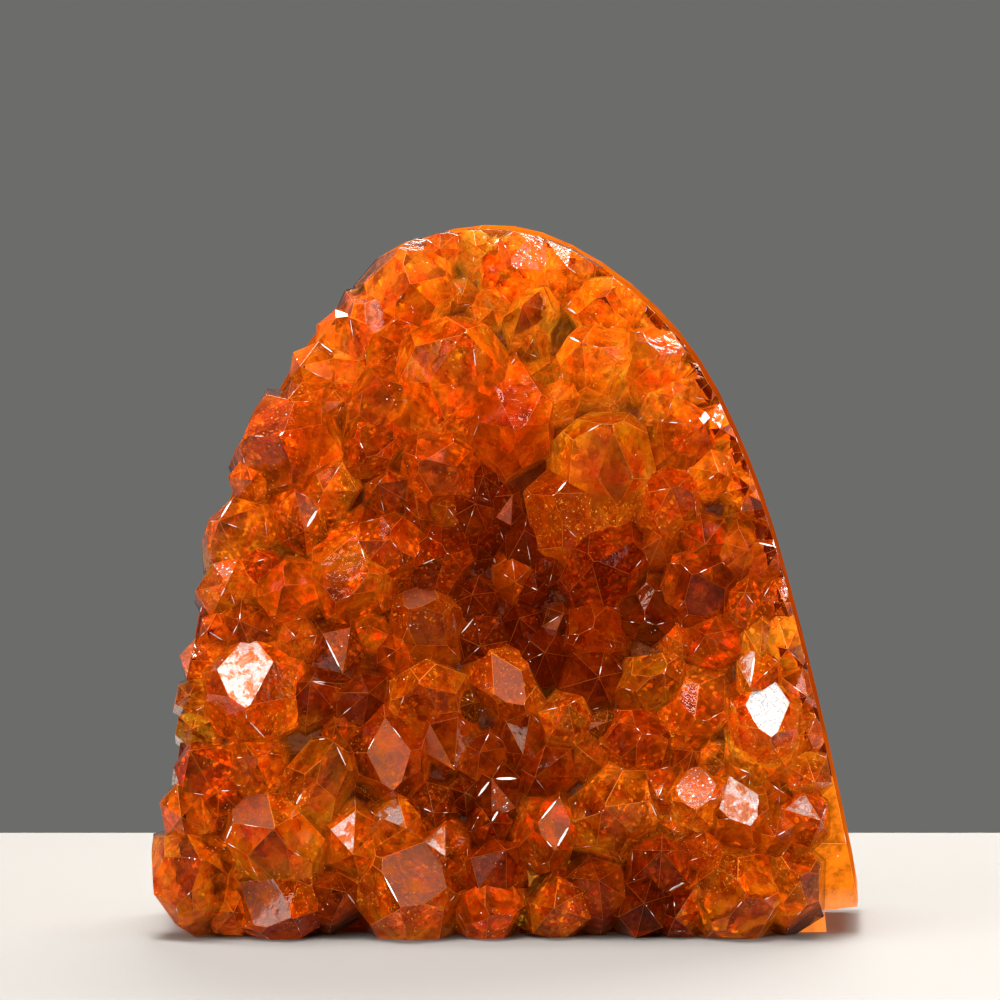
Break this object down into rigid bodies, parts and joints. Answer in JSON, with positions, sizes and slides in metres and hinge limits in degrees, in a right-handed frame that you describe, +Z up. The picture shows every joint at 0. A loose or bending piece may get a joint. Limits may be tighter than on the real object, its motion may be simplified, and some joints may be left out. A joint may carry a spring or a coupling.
{
  "type": "citrine specimen",
  "caption": "Arch-shaped slice of a geode wall with a flat cut base and a crust of clear orange quartz crystals over its front.",
  "frame": {"origin": "on the table plane, under the middle of the specimen's width and depth", "axes": "+Z up from the flat cut base, -Y out of the crystal-covered front, +X to the right of a viewer who faces that front"},
  "size_m": [0.0638, 0.0384, 0.063],
  "materials": {
    "citrine": "clear to cloudy orange crystal, glossy faces, cut sides smooth"
  },
  "bodies": {
    "root": {"citrine_cluster": "citrine"}
  },
  "joints": []
}
